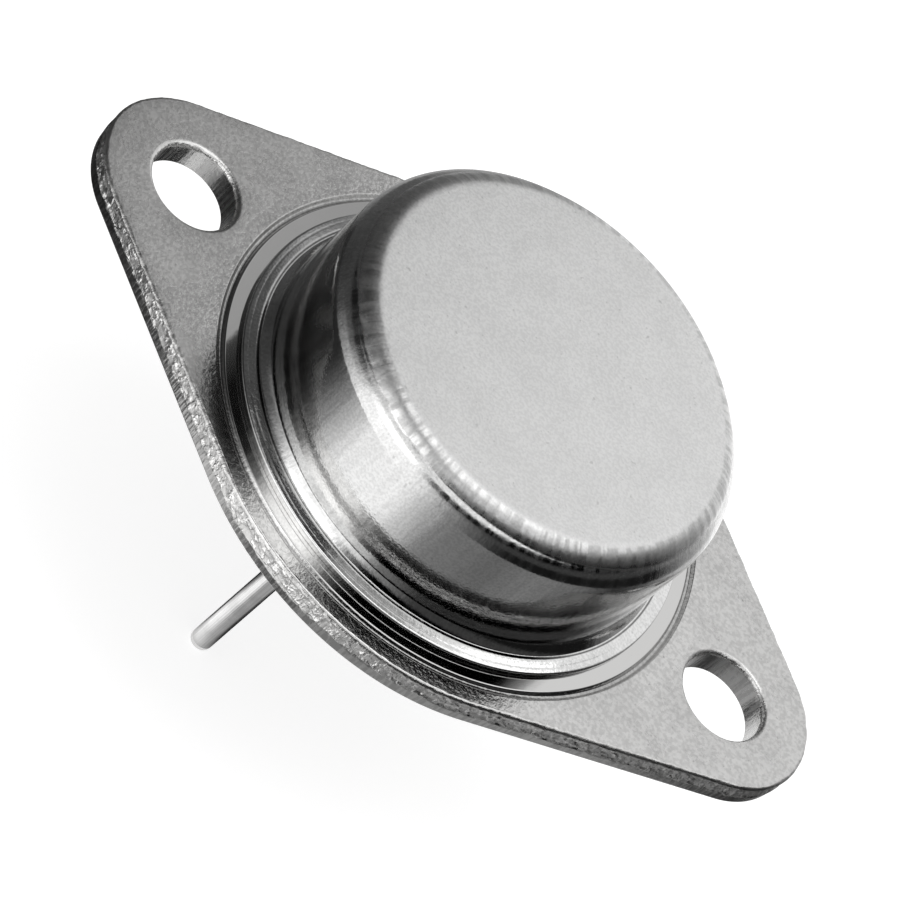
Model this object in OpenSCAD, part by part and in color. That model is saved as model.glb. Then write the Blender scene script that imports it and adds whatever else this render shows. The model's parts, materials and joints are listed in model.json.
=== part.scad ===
// Power transistor in an oval metal package: a steel flange with two mounting
// holes, a drawn steel cap welded on top, and two leads sealed into glass below.
// Z = 0 is the underside of the flange, and the cap's axis is the Z axis.

/* [Flange] */
// Thickness of the steel flange
flange_t = 1.3; // [1:0.05:2.4]
// Distance between the centres of the two mounting holes
hole_spacing = 30.15; // [29:0.05:37]
// Diameter of each mounting hole
hole_d = 4; // [3:0.1:4.8]
// Radius of the flange's ends, drawn round the mounting holes
end_r = 4.3; // [3.6:0.1:5.5]
// Radius that blanking leaves on the flange's upper edge
edge_roll = 0.15; // [0.05:0.05:0.4]
// Radius that punching leaves on the upper rim of each mounting hole
rim_roll = 0.25; // [0.1:0.05:0.5]
// Radius of the round tool that pressed the ring groove
groove_tool_r = 0.2; // [0.1:0.05:0.4]
// Depth of the ring groove round the cap
groove_depth = 0.15; // [0.05:0.05:0.3]
// Flat ring between the cap's brim and the middle of the groove
groove_gap = 0.85; // [0.4:0.05:1.5]
// Flat ring between the middle of the groove and the flange's edge
outer_land = 1; // [0.6:0.05:1.8]

/* [Cap] */
// Outside diameter of the cap's wall
cap_d = 19.5; // [18:0.1:23.4]
// Height of the cap's top above the seating plane
cap_top = 8; // [6.4:0.1:11.4]
// Thickness of the drawn steel sheet
sheet_t = 0.4; // [0.3:0.05:0.6]
// Width of the brim outside the cap's wall
brim_w = 1.05; // [0.8:0.05:1.6]
// Radius of the brim's upper outer edge
brim_round = 0.12; // [0.05:0.01:0.25]
// Outside radius of the bend between wall and brim
foot_r = 0.5; // [0.3:0.05:0.75]
// Radius of the corner round the flat top
top_corner_r = 1.15; // [0.8:0.05:1.6]
// Radius of the lower of the corner's two drawing steps
step_corner_r = 1.28; // [0.8:0.02:1.6]
// How far the upper drawing step stands in from the wall
step_in = 0.4; // [0.2:0.05:0.6]
// How far the lower drawing step would end below the flat top
step_drop = 0.32; // [0.2:0.02:0.5]

/* [Leads] */
// Diameter of each lead
lead_d = 1; // [0.8:0.05:1.3]
// Length of each lead below the seating plane
lead_l = 12.1; // [7:0.1:15]
// Distance between the two leads
lead_pitch = 10.92; // [9.5:0.01:13.2]
// How far the line through both leads is from the cap's axis
lead_offset = 1.65; // [1.4:0.05:2.2]
// Radius of the lead's rounded free end
lead_tip_r = 0.18; // [0.05:0.01:0.35]
// Diameter of the flat head inside the cap
head_d = 1.9; // [1.6:0.1:2.4]
// Thickness of the flat head
head_t = 0.35; // [0.2:0.05:0.6]

/* [Glass seals] */
// Diameter of the glass round each lead
glass_d = 3.2; // [2.4:0.1:3.9]
// How far the glass stays below both faces of the flange
glass_recess = 0.2; // [0.1:0.01:0.3]
// Radius of the glass fillet that climbs up the lead
glass_climb = 0.15; // [0.05:0.01:0.3]

/* [Chip] */
// Width of the square copper heat spreader
spreader_w = 7.5; // [6:0.1:9]
// Thickness of the heat spreader
spreader_t = 1; // [0.5:0.1:2]
// Radius of the heat spreader's corners
spreader_corner_r = 0.6; // [0.2:0.1:1.5]
// Distance from the line through the leads to the heat spreader
spreader_gap = 0.9; // [0.7:0.1:1.5]
// Thickness of the braze under the heat spreader
braze_t = 0.06; // [0.03:0.01:0.15]
// Width of the square silicon die
die_w = 4.5; // [3:0.1:5.4]
// Thickness of the silicon die
die_t = 0.25; // [0.15:0.05:0.5]
// Thickness of the solder under the die
solder_t = 0.08; // [0.04:0.01:0.15]
// How far braze and solder spread past the piece they hold
solder_spread = 0.2; // [0.1:0.05:0.4]

/* [Bond wires] */
// Diameter of the emitter wires
emitter_wire_d = 0.38; // [0.25:0.01:0.5]
// Diameter of the base wire
base_wire_d = 0.25; // [0.15:0.01:0.38]
// Distance between the two emitter wires
wire_pitch = 0.75; // [0.65:0.05:0.9]
// Height of the wire loops above their feet
loop_h = 1.4; // [0.8:0.1:2]
// Length of a wire's flattened foot
foot_l = 0.9; // [0.6:0.1:1.1]
// Thickness of a wire's flattened foot
foot_t = 0.2; // [0.12:0.02:0.3]
// Width of a foot as a multiple of its wire's diameter
foot_spread = 1.45; // [1.2:0.05:1.6]
// Distance of the bond pads from the edges of the die
pad_inset = 0.95; // [0.7:0.05:1.2]
// Least height of a wire's end above the face it is bonded to
wire_seat = 0.02; // [0.01:0.01:0.05]

/* [Hidden] */

fine = 96;
finer = 180;
past = 1; // how far a cutter runs past a face

cap_r = cap_d / 2;
lead_r = lead_d / 2;
glass_r = glass_d / 2;
hole_r = hole_d / 2;
hole_x = hole_spacing / 2;

brim_r = cap_r + brim_w;
brim_top = flange_t + sheet_t;
groove_r = brim_r + groove_gap;
middle_r = groove_r + outer_land;

// Angle from the X axis at which the end arcs and the middle arcs meet the straight edges
tangent_a = acos((middle_r - end_r) / hole_x);
side_inset = 0.004; // the straight sides stand in by this from true tangency
roll_trim = 0.03; // share of a rolled edge's radius by which it stops short of both faces
edge_past = 0.4; // how far the cutter of a straight edge runs on past the arcs' ends
arc_shy = 1; // degrees by which the cutters of the arcs' edges stop short of the sides

base_lead_at = [-lead_offset, -lead_pitch / 2];
emitter_lead_at = [-lead_offset, lead_pitch / 2];

spreader_x = -lead_offset + spreader_gap + spreader_w / 2;
spreader_z = flange_t + braze_t;
solder_z = spreader_z + spreader_t;
die_z = solder_z + solder_t;
die_top = die_z + die_t;
head_top = die_top;
pad_reach = die_w / 2 - pad_inset;
base_pad_at = [spreader_x - pad_reach, -pad_reach];
emitter_pad_at = [spreader_x - pad_reach, pad_reach];

function on_circle(r, a) = [r * cos(a), r * sin(a)];
function across(from, to) =
    let (d = (to - from) / norm(to - from)) [-d[1], d[0]];

// Half of an upright section: a block from the axis out to reach, with a round upper corner
module rounded_half(reach, low, high, corner) {
    translate([0, low]) square([reach, high - corner - low]);
    translate([0, low]) square([reach - corner, high - low]);
    translate([reach - corner, high - corner]) circle(corner, $fn = fine);
}

// Section of a concave fillet of radius r in the corner at the origin, filling up and out
module fillet(r) {
    difference() {
        square(r);
        translate([r, r]) circle(r, $fn = fine);
    }
}

module rounded_square(w, corner) {
    square([w, w - 2 * corner], center = true);
    square([w - 2 * corner, w], center = true);
    for (x = [-1, 1], y = [-1, 1])
        translate([x, y] * (w / 2 - corner)) circle(corner, $fn = fine);
}

// Section of the cutter that rounds an upper edge whose corner is at the origin
module edge_cutter_section() {
    sink = edge_roll * (1 - roll_trim);
    difference() {
        translate([-sink, -sink]) square(sink + past);
        translate([-sink, -sink]) circle(edge_roll, $fn = fine);
    }
}

// The flange's outline as a plate: a disc under the cap and one round each mounting hole,
// joined by straight sides
module flange_plate() {
    cylinder(h = flange_t, r = middle_r, $fn = finer);
    for (turn = [0, 180]) rotate(turn) {
        translate([hole_x, 0, 0]) cylinder(h = flange_t, r = end_r, $fn = finer);
        linear_extrude(flange_t) polygon([
            on_circle(middle_r - side_inset, tangent_a),
            [hole_x, 0] + on_circle(end_r - side_inset, tangent_a),
            [hole_x, 0] + on_circle(end_r - side_inset, -tangent_a),
            on_circle(middle_r - side_inset, -tangent_a)
        ]);
    }
}

// The flange's blank, with the rolled upper edge that blanking leaves
module flange_blank() {
    side_l = hole_x * sin(tangent_a);
    difference() {
        flange_plate();
        for (turn = [0, 180], lean = [-1, 1]) rotate(turn + lean * tangent_a)
            translate([middle_r - side_inset, -lean * side_l / 2, flange_t])
                rotate([90, 0, 0])
                    linear_extrude(side_l + 2 * edge_past, center = true) edge_cutter_section();
        for (turn = [0, 180]) rotate(turn) {
            rotate(tangent_a + arc_shy)
                rotate_extrude(angle = 180 - 2 * (tangent_a + arc_shy), $fn = finer)
                    translate([middle_r, flange_t]) edge_cutter_section();
            translate([hole_x, 0, 0])
                rotate(arc_shy - tangent_a)
                    rotate_extrude(angle = 2 * (tangent_a - arc_shy), $fn = finer)
                        translate([end_r, flange_t]) edge_cutter_section();
        }
    }
}

// A mounting hole with the rolled rim that punching leaves on the upper face
module hole_cutter() {
    rim_sink = rim_roll * (1 - roll_trim);
    rotate_extrude($fn = fine) {
        translate([0, -past]) square([hole_r, flange_t + 2 * past]);
        difference() {
            translate([0, flange_t - rim_sink]) square([hole_r + rim_roll, past]);
            translate([hole_r + rim_roll, flange_t - rim_sink]) circle(rim_roll, $fn = fine);
        }
    }
}

module ring_groove_cutter() {
    rotate_extrude($fn = finer)
        translate([groove_r, flange_t - groove_depth + groove_tool_r])
            circle(groove_tool_r, $fn = fine);
}

module flange() {
    color("silver")
    difference() {
        flange_blank();
        for (x = [-hole_x, hole_x]) translate([x, 0, 0]) hole_cutter();
        for (at = [base_lead_at, emitter_lead_at])
            translate([at[0], at[1], -past]) cylinder(h = flange_t + 2 * past, r = glass_r, $fn = fine);
        ring_groove_cutter();
    }
}

// The cap's outside: two drawing steps at the top corner, and a bend out into the brim
module cap_outside() {
    rounded_half(cap_r, flange_t, cap_top - step_drop, step_corner_r);
    rounded_half(cap_r - step_in, flange_t, cap_top, top_corner_r);
    rounded_half(brim_r, flange_t, brim_top, brim_round);
    translate([cap_r, brim_top]) fillet(foot_r);
}

// The cap's inside: one sheet thickness in from the outside
module cap_inside() {
    inner_r = cap_r - sheet_t;
    bend_z = brim_top + foot_r;
    rounded_half(inner_r, flange_t - past, cap_top - sheet_t, top_corner_r);
    difference() {
        translate([0, flange_t - past]) square([cap_r + foot_r, bend_z - flange_t + past]);
        translate([cap_r + foot_r, bend_z]) circle(foot_r + sheet_t, $fn = fine);
    }
}

module cap() {
    color("gainsboro")
    rotate_extrude($fn = finer)
        difference() {
            cap_outside();
            cap_inside();
        }
}

// A glass bead fused into the flange, with a fillet up the lead on both faces
module glass_seal(at) {
    low = glass_recess;
    high = flange_t - glass_recess;
    color("lightsteelblue")
    translate([at[0], at[1], 0])
        rotate_extrude($fn = fine) {
            translate([lead_r, low]) square([glass_r - lead_r, high - low]);
            translate([lead_r, high]) fillet(glass_climb);
            translate([lead_r, low]) mirror([0, 1]) fillet(glass_climb);
        }
}

// A round lead with a rounded free end and a flat head for the bond wires
module lead(at) {
    color("silver")
    translate([at[0], at[1], 0])
        rotate_extrude($fn = fine) {
            mirror([0, 1]) rounded_half(lead_r, -head_top + head_t / 2, lead_l, lead_tip_r);
            translate([0, head_top - head_t]) square([head_d / 2, head_t]);
        }
}

// A wire from one flattened foot up over a circular loop to the other foot
module bond_wire(from, to, d) {
    span = norm(to - from);
    loop_r = (span * span / 4 + loop_h * loop_h) / (2 * loop_h);
    half_a = asin(span / 2 / loop_r);
    end_z = d / 2 * cos(half_a) + wire_seat;
    foot_w = d * foot_spread;
    color("whitesmoke")
    translate([from[0], from[1], die_top])
        rotate(atan2(to[1] - from[1], to[0] - from[0])) {
            for (x = [0, span]) translate([x, 0, 0])
                linear_extrude(foot_t) {
                    square([foot_l - foot_w, foot_w], center = true);
                    for (end = [-1, 1])
                        translate([end * (foot_l - foot_w) / 2, 0]) circle(foot_w / 2, $fn = fine);
                }
            translate([span / 2, 0, end_z + loop_h - loop_r])
                rotate([90, 0, 0])
                    rotate(90 - half_a)
                        rotate_extrude(angle = 2 * half_a, $fn = finer)
                            translate([loop_r, 0]) circle(d / 2, $fn = fine);
        }
}

module emitter_wire(side) {
    shift = across(emitter_lead_at, emitter_pad_at) * side * wire_pitch / 2;
    bond_wire(emitter_lead_at + shift, emitter_pad_at + shift, emitter_wire_d);
}

module base_glass_seal() { glass_seal(base_lead_at); }
module emitter_glass_seal() { glass_seal(emitter_lead_at); }
module base_lead() { lead(base_lead_at); }
module emitter_lead() { lead(emitter_lead_at); }
module emitter_wire_1() { emitter_wire(-1); }
module emitter_wire_2() { emitter_wire(1); }
module base_wire() { bond_wire(base_lead_at, base_pad_at, base_wire_d); }

module spreader_braze() {
    color("lightgray")
    translate([spreader_x, 0, flange_t])
        linear_extrude(braze_t)
            rounded_square(spreader_w + 2 * solder_spread, spreader_corner_r);
}

module heat_spreader() {
    color("peru")
    translate([spreader_x, 0, spreader_z])
        linear_extrude(spreader_t)
            rounded_square(spreader_w, spreader_corner_r);
}

module die_solder() {
    color("darkgray")
    translate([spreader_x, 0, solder_z])
        linear_extrude(solder_t)
            rounded_square(die_w + 2 * solder_spread, solder_spread);
}

module silicon_die() {
    color("slategray")
    translate([spreader_x, 0, die_z + die_t / 2])
        cube([die_w, die_w, die_t], center = true);
}

flange();
cap();
base_glass_seal();
emitter_glass_seal();
base_lead();
emitter_lead();
spreader_braze();
heat_spreader();
die_solder();
silicon_die();
emitter_wire_1();
emitter_wire_2();
base_wire();
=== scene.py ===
"""Power transistor in an oval metal package: fine surfaces and finishes over the CAD model.

Shapes are worked out in millimetres in the CAD frame: Z = 0 is the flange's underside and the cap's
axis is the Z axis. new_object() turns them into metres.
"""

import json

import bmesh
import bpy
import numpy as np
from mathutils import Matrix, Vector


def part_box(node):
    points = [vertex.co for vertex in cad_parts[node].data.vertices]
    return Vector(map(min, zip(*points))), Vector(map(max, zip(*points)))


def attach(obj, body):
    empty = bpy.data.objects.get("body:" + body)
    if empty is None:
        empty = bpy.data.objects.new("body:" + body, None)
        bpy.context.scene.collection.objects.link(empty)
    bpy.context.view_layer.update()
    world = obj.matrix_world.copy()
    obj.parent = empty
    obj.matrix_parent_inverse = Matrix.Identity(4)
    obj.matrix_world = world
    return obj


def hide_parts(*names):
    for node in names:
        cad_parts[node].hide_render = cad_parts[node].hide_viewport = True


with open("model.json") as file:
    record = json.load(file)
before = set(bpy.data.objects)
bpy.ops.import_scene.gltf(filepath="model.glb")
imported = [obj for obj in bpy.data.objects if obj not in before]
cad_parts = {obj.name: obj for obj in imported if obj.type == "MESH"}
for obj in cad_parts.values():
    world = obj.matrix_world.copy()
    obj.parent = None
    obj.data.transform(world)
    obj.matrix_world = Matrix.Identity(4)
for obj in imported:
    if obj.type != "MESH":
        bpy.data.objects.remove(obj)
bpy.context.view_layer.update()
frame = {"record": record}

MM = 0.001
TURN = 2 * np.pi


# ---------------- sizes, in millimetres


def box_mm(node):
    """Lowest and highest corner of a CAD node."""
    low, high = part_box(node)
    return np.array(low) / MM, np.array(high) / MM


mounts = {m["name"]: m for m in frame["record"]["mounts"]}
hole_r = mounts["flange_holes"]["dims"]["hole_r_mm"]
hole_x = mounts["flange_holes"]["dims"]["spacing_x_mm"] / 2

flange_top = box_mm("flange")[1][2]
middle_r = box_mm("flange")[1][1]  # radius of the outline's middle arcs
end_r = box_mm("flange")[1][0] - hole_x  # radius of its end arcs
edge_roll = 0.15  # mean radius of the rolled upper edge
rim_roll = 0.25  # radius of the rolled rim of a mounting hole
low_edge = 0.04  # radius of the lower edge
edge_lean = 0.07  # how far the edge leans in at its lower side
lean_from = 0.6  # height below which it leans in
torn_depth = 0.08  # depth of the torn part of the edge

brim_r = box_mm("cap")[1][0]
cap_top = box_mm("cap")[1][2]
sheet_t = 0.4
brim_top = flange_top + sheet_t
brim_lean = 13.0  # degrees by which the brim slopes down outward
brim_peak = 10.22  # radius at which that slope starts
brim_turn = 0.1  # radius of the brim's outer edge
weld_gap = 0.03  # bevel along the brim's lower edge
press_r = 10.52  # radius of the fine line pressed into the brim
press_half = 0.03  # its half width
press_depth = 0.004
painted_shade_r = 10.14  # radius of the dark line painted on the brim as shade in the corner at the wall's foot
wall_r = 9.75
foot_r = 0.5  # radius of the bend inside the cap's foot
flare_r = 0.27  # how far the wall flares out at its foot
flare_h = 0.26  # height of that flare
flare_blend = 0.1  # height in which the flare runs out into the wall
flare_pull = 0.2  # how far the flare follows the bend's tangent
bend_r = 0.05  # radius of the bend between flare and brim
step_corner_r = 1.28  # radius of the lower drawing step
step_in = 0.4  # how far the upper corner stands in from the wall
step_drop = 0.32  # how far the lower step's circle ends below the top
top_corner_r = 1.15  # radius of the upper corner

groove_r = brim_r + 0.85
groove_depth = 0.13
groove_in, groove_low, groove_out = groove_r - 0.22, groove_r - 0.05, groove_r + 0.2
groove_floor = 0.08  # width of the groove's floor

lead_low, lead_high = box_mm("base_lead")
lead_r = 0.5
lead_tip_r = 0.18  # radius of the rounded free end
head_r = (lead_high[0] - lead_low[0]) / 2
head_t = 0.35  # thickness of the flat head inside the cap
lead_x = (lead_low[0] + lead_high[0]) / 2
lead_y = -(lead_low[1] + lead_high[1]) / 2

seal_low, seal_high = box_mm("base_glass_seal")
glass_r = (seal_high[0] - seal_low[0]) / 2
glass_climb = 0.15  # how far the glass is drawn up a lead
climb_share, bank_share = 0.25, 0.15  # parts of its width that rise at the lead and at the bore


# ---------------- surfaces from whole arrays


def arc(centre, radius, start, end, count):
    """Points on a circle round centre, from start to end degrees."""
    a = np.radians(np.linspace(start, end, count))
    return np.array(centre) + radius * np.column_stack([np.cos(a), np.sin(a)])


def straight(start, end, count):
    """Evenly spaced points on a line, both ends counted."""
    return np.linspace(start, end, count)


def join(*pieces):
    """One line of points from several, dropping points that repeat the one before."""
    line = np.vstack(pieces)
    keep = np.r_[True, np.linalg.norm(np.diff(line, axis=0), axis=1) > 1e-9]
    return line[keep]


def grid_quads(rows, columns, first=0, closed=True):
    """Corner numbers of the quads of a grid. The columns of a closed grid join on themselves."""
    steps = columns if closed else columns - 1
    row, column = np.meshgrid(np.arange(rows - 1), np.arange(steps), indexing="ij")
    after = (column + 1) % columns
    corners = [row * columns + column, row * columns + after]
    corners += [corners[1] + columns, corners[0] + columns]
    return first + np.stack(corners, axis=-1).reshape(-1, 4)


def smooth_step(x):
    """0 below 0, 1 above 1, and 3x^2 - 2x^3 between."""
    x = np.clip(x, 0, 1)
    return x * x * (3 - 2 * x)


def hashed(number, seed):
    """A value from 0 to 1 for each whole number: the fraction left of a large sine."""
    big = np.sin(number * 12.9898 + seed * 78.233) * 43758.5453
    return big - np.floor(big)


def ripple(u, count, seed):
    """Smooth noise from -1 to 1 on a closed path: count random heights, with u from 0 to 1 along
    the path, joined by the curve 3f^2 - 2f^3."""
    whole = np.floor(u * count)
    f = smooth_step(u * count - whole)
    here, there = hashed(whole % count, seed), hashed((whole + 1) % count, seed)
    return 2 * (here * (1 - f) + there * f) - 1


def whole_turn(columns):
    """The angle of each column, evenly spaced round the axis."""
    return np.arange(columns) / columns * TURN


def sweep(line, a):
    """Grid of points: each (r, z) of the line at every angle a, as (r cos a, r sin a, z)."""
    r, z = line[:, :1], line[:, 1:]
    return np.stack([r * np.cos(a), r * np.sin(a), z + 0 * a], axis=-1)


def new_object(name, points, quads):
    """A mesh object in the scene, from points in millimetres."""
    mesh = bpy.data.meshes.new(name)
    mesh.from_pydata(points * MM, [], quads)
    made = bpy.data.objects.new(name, mesh)
    bpy.context.scene.collection.objects.link(made)
    return made


def make_piece(name, grids, crease_deg, stands_for):
    """A closed mesh from grids of points (rows, columns, 3) whose columns close on themselves. Points
    that coincide are merged, so grids that share a row join and rows that shrink to a point close."""
    points, quads, count = [], [], 0
    for g in grids:
        points.append(g.reshape(-1, 3))
        quads.append(grid_quads(g.shape[0], g.shape[1], count))
        count += g.shape[0] * g.shape[1]
    piece = new_object(name, np.vstack(points), np.vstack(quads))
    merged = bmesh.new()
    merged.from_mesh(piece.data)
    bmesh.ops.remove_doubles(merged, verts=merged.verts, dist=2e-8)
    bmesh.ops.dissolve_degenerate(merged, edges=merged.edges, dist=1e-8)
    bmesh.ops.recalc_face_normals(merged, faces=merged.faces)
    merged.to_mesh(piece.data)
    merged.free()
    piece.data.shade_smooth()
    piece.data.set_sharp_from_angle(angle=np.radians(crease_deg))
    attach(piece, "root")
    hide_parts(*stands_for)
    level = piece.modifiers.new("flat_faces_stay_flat", "WEIGHTED_NORMAL")
    level.keep_sharp = True
    return piece


# ---------------- cap


def crossing(centre_a, radius_a, centre_b, radius_b):
    """The outer of the two points where two circles of the (r, z) plane cross."""
    a, b = np.array(centre_a), np.array(centre_b)
    gap = np.linalg.norm(b - a)
    along = (gap**2 + radius_a**2 - radius_b**2) / (2 * gap)
    away = np.sqrt(radius_a**2 - along**2)
    unit = (b - a) / gap
    both = [a + along * unit + s * away * np.array([-unit[1], unit[0]]) for s in (-1, 1)]
    return max(both, key=lambda p: p[0])


def degrees_of(point, centre):
    """Direction from centre to point, in degrees."""
    return np.degrees(np.arctan2(point[1] - centre[1], point[0] - centre[0]))


step_at = (wall_r - step_corner_r, cap_top - step_drop - step_corner_r)
top_at = (wall_r - step_in - top_corner_r, cap_top - top_corner_r)
crease = crossing(step_at, step_corner_r, top_at, top_corner_r)
crease_z = crease[1]


def corner_marks(r, z, a):
    """How far short marks press the upper corner in, at each point (r, z) of the section and each
    angle a: noise round the axis, times exp(-x^2) up and down the corner from its middle. The marks
    are deep about one side, mark_side, and faint elsewhere."""
    mark_side, mark_reach, mark_fade = 230, 42, 28
    mark_depth, faint_share, deep_share = 0.04, 0.012, 1.25
    corner_middle, corner_spread = 38, 18
    u = a / TURN
    off_side = np.abs((np.degrees(a) - mark_side + 180) % 360 - 180)
    deep = smooth_step((mark_reach - off_side) / mark_fade)
    marks = np.maximum(ripple(u, 88, 3) + 0.4 * ripple(u, 190, 4), 0) ** 1.5
    lift = np.degrees(np.arctan2(z - top_at[1], r - top_at[0]))
    on_corner = (z > crease_z + 0.01) * (r > top_at[0])
    on_corner = on_corner * np.exp(-(((lift - corner_middle) / corner_spread) ** 2))
    return mark_depth * on_corner * marks * (faint_share + deep_share * deep)


def make_cap():
    """The drawn cap: its section carried round the Z axis. Outside, from the weld up: the brim, flat
    near the wall and a cone of brim_lean degrees outside that, a tight bend, the wall, the lower
    drawing step, the upper corner and the flat top. Inside, the same one sheet thickness in. The wall
    flares into the bend along the curve (1 - u)^2 low + 2u (1 - u) middle + u^2 high. A line of depth
    exp(-x^2), with x the distance from press_r over press_half, runs round the brim."""
    fillet_at = (wall_r + foot_r, brim_top + foot_r)
    weld = (wall_r + foot_r, flange_top)
    slope = np.arctan2(flare_r, flare_h)
    bend_at = np.array([wall_r + flare_r + bend_r, brim_top + bend_r])
    low = bend_at + bend_r * np.array([-np.cos(slope), -np.sin(slope)])
    middle = low + flare_pull * np.array([-np.sin(slope), np.cos(slope)])
    high = np.array([wall_r, brim_top + flare_h + flare_blend])
    u = np.linspace(0, 1, 14)[:, None]
    flare = (1 - u) ** 2 * low + 2 * u * (1 - u) * middle + u**2 * high

    lean = np.radians(brim_lean)
    cone_end = brim_r - brim_turn * (1 - np.sin(lean))
    turn_z = brim_top - (cone_end - brim_peak) * np.tan(lean) - brim_turn * np.cos(lean)
    edge_turn = arc((brim_r - brim_turn, turn_z), brim_turn, 0, 90 - brim_lean, 8)
    crest_out, crest_in = 0.04, 0.01
    cone_start = (brim_peak + crest_out, brim_top - crest_out * np.tan(lean))
    flat_end = (brim_peak - crest_in, brim_top)

    outside = join(
        straight(weld, (brim_r - weld_gap, flange_top), 3),
        straight((brim_r, flange_top + weld_gap), (brim_r, turn_z), 3),
        edge_turn,
        straight(edge_turn[-1], cone_start, 12),
        straight(cone_start, flat_end, 2),
        straight(flat_end, (bend_at[0], brim_top), 6),
        arc(bend_at, bend_r, 270, 180 + np.degrees(slope), 8),
        flare,
        straight(high, (wall_r, step_at[1]), 22),
        arc(step_at, step_corner_r, 0, degrees_of(crease, step_at), 14),
        arc(top_at, top_corner_r, degrees_of(crease, top_at), 90, 20),
        straight((top_at[0], cap_top), (0, cap_top), 8),
    )
    inner_r = wall_r - sheet_t
    inner_top = cap_top - sheet_t
    inside = join(
        straight((0, inner_top), (inner_r - top_corner_r, inner_top), 2),
        arc((inner_r - top_corner_r, inner_top - top_corner_r), top_corner_r, 90, 0, 8),
        arc(fillet_at, foot_r + sheet_t, 180, 270, 8),
    )
    a = whole_turn(640)
    outer = sweep(outside, a)
    r, z = outside[:, :1], outside[:, 1:]
    on_brim = (z > brim_top - 0.15) * (z < brim_top + 0.01)
    outer[..., 2] -= press_depth * np.exp(-(((r - press_r) / press_half) ** 2)) * on_brim
    push = corner_marks(r, z, a)
    outer[..., 0] -= push * np.cos(a)
    outer[..., 1] -= push * np.sin(a)
    return make_piece("cap_shell", [outer, sweep(inside, a)], 25, ["cap"])


# ---------------- flange

ring_r = middle_r - edge_roll
tangent = np.arccos((middle_r - end_r) / hole_x)  # direction of a straight side's normal
end_a = np.arctan2(end_r * np.sin(tangent), hole_x + end_r * np.cos(tangent))  # end of an end arc
rim_r = hole_r + rim_roll
hole_columns, bore_columns = 97, 73
seal_distance = np.hypot(lead_x, lead_y)
seal_angle = np.arctan2(lead_y, lead_x)


def hole_rays(distance, radius, middle, count):
    """Polar angles a of rays that meet a hole's rim at even steps: sin(a - middle) is
    radius / distance times sin(t), with t from -90 to 90 degrees. Returns a and t."""
    t = np.linspace(-np.pi / 2, np.pi / 2, count)
    return middle + np.arcsin(radius / distance * np.sin(t)), t


def flange_columns():
    """Polar angles of the flange's columns, the t of those that cross a mounting hole, and the t of
    those that cross a lead's bore (nan elsewhere)."""
    hole_a, hole_t = hole_rays(hole_x, rim_r, 0, hole_columns)
    bore_a, bore_t = hole_rays(seal_distance, glass_r, seal_angle, bore_columns)
    before = [(hole_a[-1], end_a, 13), (end_a, tangent, 131), (tangent, bore_a[0], 81)]
    after = [
        (bore_a[-1], np.pi - tangent, 3),
        (np.pi - tangent, np.pi - end_a, 131),
        (np.pi - end_a, np.pi - hole_a[-1], 13),
    ]
    first, last = (np.concatenate([np.linspace(*run)[:-1] for run in part]) for part in (before, after))
    nan = np.nan
    side = np.r_[first, bore_a[:-1], last][1:]
    side_t = np.r_[nan * first, bore_t, nan * last[1:]][1:]
    # right hole, upper side, left hole, lower side (the upper side turned over)
    a = np.r_[hole_a, side, np.pi + hole_a, TURN - side[::-1]]
    at_hole = np.r_[hole_t, nan * side, hole_t, nan * side]
    at_bore = np.r_[nan * hole_t, side_t, nan * hole_t, -side_t[::-1]]
    return a, at_hole, at_bore


column_a, hole_t_of, bore_t_of = flange_columns()
ray = np.column_stack([np.cos(column_a), np.sin(column_a)])
across = np.column_stack([-ray[:, 1], ray[:, 0]])
side_x = np.sign(ray[:, 0])
hole_centre = np.column_stack([side_x * hole_x, 0 * side_x])
bore_centre = np.column_stack([lead_x + 0 * side_x, np.sign(ray[:, 1]) * lead_y])


def outline():
    """Points and outward directions of the flange's edge, one for each column: the middle arc, the
    straight sides that touch both arcs, and the end arcs, each met by the column's ray."""
    fold = np.arctan2(np.abs(ray[:, 1]), np.abs(ray[:, 0]))
    on_middle, past_end = fold >= tangent, fold > end_a
    straight_r = middle_r / np.cos(fold - tangent)
    end_ray = hole_x * np.cos(fold) + np.sqrt(np.maximum(end_r**2 - (hole_x * np.sin(fold)) ** 2, 0))
    r = np.where(on_middle, middle_r, np.where(past_end, straight_r, end_ray))
    point = r[:, None] * ray
    from_hole = (point - hole_centre) / end_r
    slant = np.column_stack([side_x * np.cos(tangent), np.sign(ray[:, 1]) * np.sin(tangent)])
    outward = np.where(past_end[:, None], slant, from_hole)
    return point, np.where(on_middle[:, None], ray, outward)


edge, edge_out = outline()
# distance along the edge to each column, and its share of the whole
edge_s = np.r_[0, np.cumsum(np.linalg.norm(np.diff(edge, axis=0), axis=1))]
edge_u = edge_s / (edge_s[-1] + np.linalg.norm(edge[0] - edge[-1]))


FAR, NEAR = 1, -1


def rim_points(t, centre, radius, end):
    """Where the columns' rays meet a hole's rim, at its far or near end: from the hole's centre,
    radius times (end cos t along the ray + sin t across it)."""
    t = np.nan_to_num(t)[:, None]
    return centre + radius * (end * np.cos(t) * ray + np.sin(t) * across)


def split(inner, outer, share, t, centre, radius):
    """Two rows that part round the holes and run as one between them, at a share of the way from
    the inner row to the outer one."""
    between = inner + share * (outer - inner)
    free = np.isnan(t)[:, None]
    return [np.where(free, between, rim_points(t, centre, radius, end)) for end in (NEAR, FAR)]


def at_height(rows, z):
    """Rows of (x, y) points as a grid of (x, y, z); z is one number, or one for each row."""
    rows = np.stack(rows)
    z = np.broadcast_to(np.reshape(z, (-1, 1)), rows.shape[:2])
    return np.concatenate([rows, z[..., None]], axis=-1)


def blend_rows(inner, outer, count):
    """Rows from the inner one to the outer one, evenly spaced."""
    return [inner + (outer - inner) * k / (count - 1) for k in range(count)]


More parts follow.
